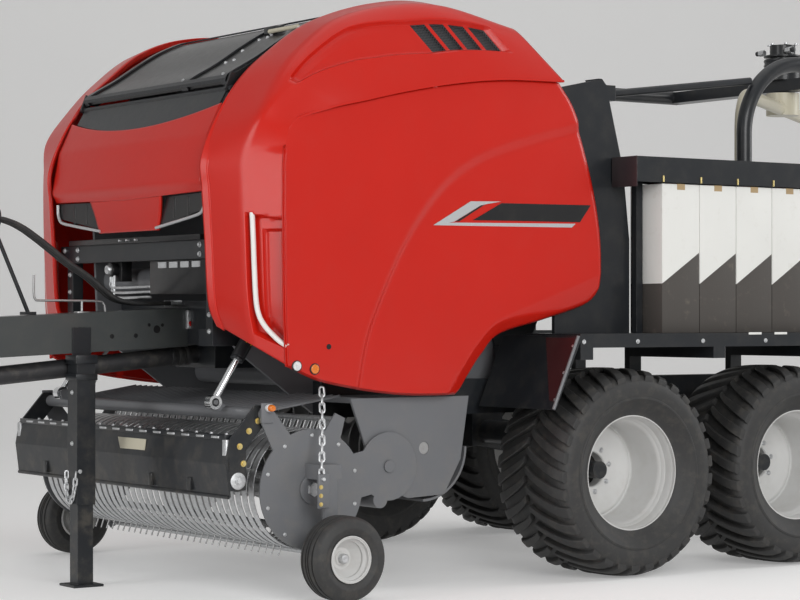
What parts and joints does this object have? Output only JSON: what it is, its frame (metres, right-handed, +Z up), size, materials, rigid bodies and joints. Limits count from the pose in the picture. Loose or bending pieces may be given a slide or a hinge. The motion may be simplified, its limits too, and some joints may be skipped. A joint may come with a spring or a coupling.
{
  "type": "round baler with bale wrapper",
  "caption": "Towed round baler with a built-on bale wrapper: tandem axle, pick-up, bale chamber under opening covers, wrapping arms on a gantry above a tilting table",
  "frame": {"origin": "on the ground under the middle of the machine's box", "axes": "+X forward to the coupling eye, +Y to the left, +Z up"},
  "size_m": [7.1, 2.905, 2.97],
  "materials": {
    "red_paint": "gloss red paint",
    "dark_paint": "satin anthracite paint",
    "grey_paint": "satin grey paint",
    "beige_paint": "satin beige paint",
    "zinc": "galvanised steel",
    "steel": "bare steel",
    "chromed": "hard chrome",
    "tyre": "matt tread rubber",
    "rim_silver": "silver rim paint",
    "black_plastic": "matt black plastic",
    "hose": "black hose rubber",
    "carton": "printed white carton, left plain",
    "film": "stretch film",
    "lamp_red": "red lamp lens"
  },
  "bodies": {
    "machine": {"main_frame": "dark_paint", "table_brackets": "dark_paint", "bogie_beams": "dark_paint", "drawbar": "dark_paint", "coupling_eye": "steel", "jack_sleeve": "dark_paint", "pto_shaft": "black_plastic", "front_frame": "dark_paint", "gearbox": "dark_paint", "chamber_walls": "grey_paint", "feed_housing": "grey_paint", "net_bin": "black_plastic", "rear_quarters": "dark_paint", "platforms": "dark_paint", "film_boxes": "carton", "box_rails": "dark_paint", "gantry": "dark_paint", "rotor_drive": "dark_paint", "hose_support": "dark_paint", "hoses": "hose", "rear_lamps": "lamp_red"},
    "jack": {"jack_leg": "zinc"},
    "intake": {"intake_rotor": "steel"},
    "hood": {"front_hood": "red_paint"},
    "cover_left": {"side_cover_left": "red_paint"},
    "cover_right": {"side_cover_right": "red_paint"},
    "gate": {"tailgate": "dark_paint"},
    "wrapper": {"wrap_rotor": "beige_paint", "stretchers": "grey_paint", "film_rolls": "film"},
    "table": {"table_frame": "beige_paint"},
    "roller_front": {"table_roller_front": "dark_paint"},
    "roller_rear": {"table_roller_rear": "dark_paint"},
    "fork": {"transfer_fork": "beige_paint"},
    "pickup": {"pickup_frame": "grey_paint", "pickup_guards": "zinc"},
    "reel": {"pickup_reel": "steel"},
    "press": {"crop_press": "dark_paint"},
    "barrels": {"lift_barrels": "dark_paint"},
    "rods": {"lift_rods": "chromed"},
    "gauge_left": {"gauge_tyre_left": "tyre", "gauge_rim_left": "rim_silver"},
    "gauge_right": {"gauge_tyre_right": "tyre", "gauge_rim_right": "rim_silver"},
    "wheel_fl": {"tyre_front_left": "tyre", "rim_front_left": "rim_silver"},
    "wheel_fr": {"tyre_front_right": "tyre", "rim_front_right": "rim_silver"},
    "wheel_rl": {"tyre_rear_left": "tyre", "rim_rear_left": "rim_silver"},
    "wheel_rr": {"tyre_rear_right": "tyre", "rim_rear_right": "rim_silver"}
  },
  "joints": [
    {"name": "wheel_fl_spin", "type": "hinge", "parent": "machine", "child": "wheel_fl", "pos_m": [-0.1, 1.15, 0.53], "axis": [0, 1, 0], "continuous": true},
    {"name": "wheel_fr_spin", "type": "hinge", "parent": "machine", "child": "wheel_fr", "pos_m": [-0.1, -1.15, 0.53], "axis": [0, 1, 0], "continuous": true},
    {"name": "wheel_rl_spin", "type": "hinge", "parent": "machine", "child": "wheel_rl", "pos_m": [-1.25, 1.15, 0.53], "axis": [0, 1, 0], "continuous": true},
    {"name": "wheel_rr_spin", "type": "hinge", "parent": "machine", "child": "wheel_rr", "pos_m": [-1.25, -1.15, 0.53], "axis": [0, 1, 0], "continuous": true},
    {"name": "pickup_lift", "type": "hinge", "parent": "machine", "child": "pickup", "pos_m": [1.24, 0, 0.6], "axis": [0, -1, 0], "range_deg": [0, 12]},
    {"name": "reel_spin", "type": "hinge", "parent": "pickup", "child": "reel", "pos_m": [1.68, 0, 0.508], "axis": [0, 1, 0], "continuous": true},
    {"name": "press_lift", "type": "hinge", "parent": "pickup", "child": "press", "pos_m": [1.93, 0, 0.864], "axis": [0, -1, 0], "range_deg": [0, 25]},
    {"name": "gauge_left_spin", "type": "hinge", "parent": "pickup", "child": "gauge_left", "pos_m": [1.658, 1.37, 0.2], "axis": [0, 1, 0], "continuous": true},
    {"name": "gauge_right_spin", "type": "hinge", "parent": "pickup", "child": "gauge_right", "pos_m": [1.658, -1.37, 0.2], "axis": [0, 1, 0], "continuous": true},
    {"name": "barrel_swing", "type": "hinge", "parent": "machine", "child": "barrels", "pos_m": [1.72, 0, 1.38], "axis": [0, -1, 0], "range_deg": [0, 2.55]},
    {"name": "rod_slide", "type": "slide", "parent": "barrels", "child": "rods", "axis": [-0.5421, 0, 0.8403], "range_m": [0, 0.1769]},
    {"name": "intake_spin", "type": "hinge", "parent": "machine", "child": "intake", "pos_m": [1.02, 0, 0.68], "axis": [0, 1, 0], "continuous": true},
    {"name": "hood_open", "type": "hinge", "parent": "machine", "child": "hood", "pos_m": [1.905, 0, 2.415], "axis": [0, -1, 0], "range_deg": [0, 70]},
    {"name": "cover_left_open", "type": "hinge", "parent": "machine", "child": "cover_left", "pos_m": [0.95, 0.9, 2.745], "axis": [1, 0, 0], "range_deg": [0, 60]},
    {"name": "cover_right_open", "type": "hinge", "parent": "machine", "child": "cover_right", "pos_m": [0.95, -0.9, 2.745], "axis": [-1, 0, 0], "range_deg": [0, 60]},
    {"name": "gate_open", "type": "hinge", "parent": "machine", "child": "gate", "pos_m": [0.52, 0, 2.64], "axis": [0, 1, 0], "range_deg": [0, 60]},
    {"name": "jack_slide", "type": "slide", "parent": "machine", "child": "jack", "axis": [0, 0, 1], "range_m": [0, 0.38]},
    {"name": "wrapper_spin", "type": "hinge", "parent": "machine", "child": "wrapper", "pos_m": [-2.45, 0, 2.6], "axis": [0, 0, 1], "continuous": true},
    {"name": "table_tilt", "type": "hinge", "parent": "machine", "child": "table", "pos_m": [-3.05, 0, 0.72], "axis": [0, -1, 0], "range_deg": [0, 30]},
    {"name": "roller_front_spin", "type": "hinge", "parent": "table", "child": "roller_front", "pos_m": [-2.03, 0, 0.8], "axis": [0, 1, 0], "continuous": true},
    {"name": "roller_rear_spin", "type": "hinge", "parent": "table", "child": "roller_rear", "pos_m": [-2.87, 0, 0.8], "axis": [0, 1, 0], "continuous": true},
    {"name": "fork_lift", "type": "hinge", "parent": "machine", "child": "fork", "pos_m": [-1.5, 0, 0.72], "axis": [0, -1, 0], "range_deg": [0, 45]}
  ],
  "couplings": [
    {"joint": "barrel_swing", "follows": "pickup_lift", "ratio": 0.18716},
    {"joint": "rod_slide", "follows": "pickup_lift", "m_per_rad": 0.83529},
    {"joint": "roller_rear_spin", "follows": "roller_front_spin", "ratio": 1}
  ]
}
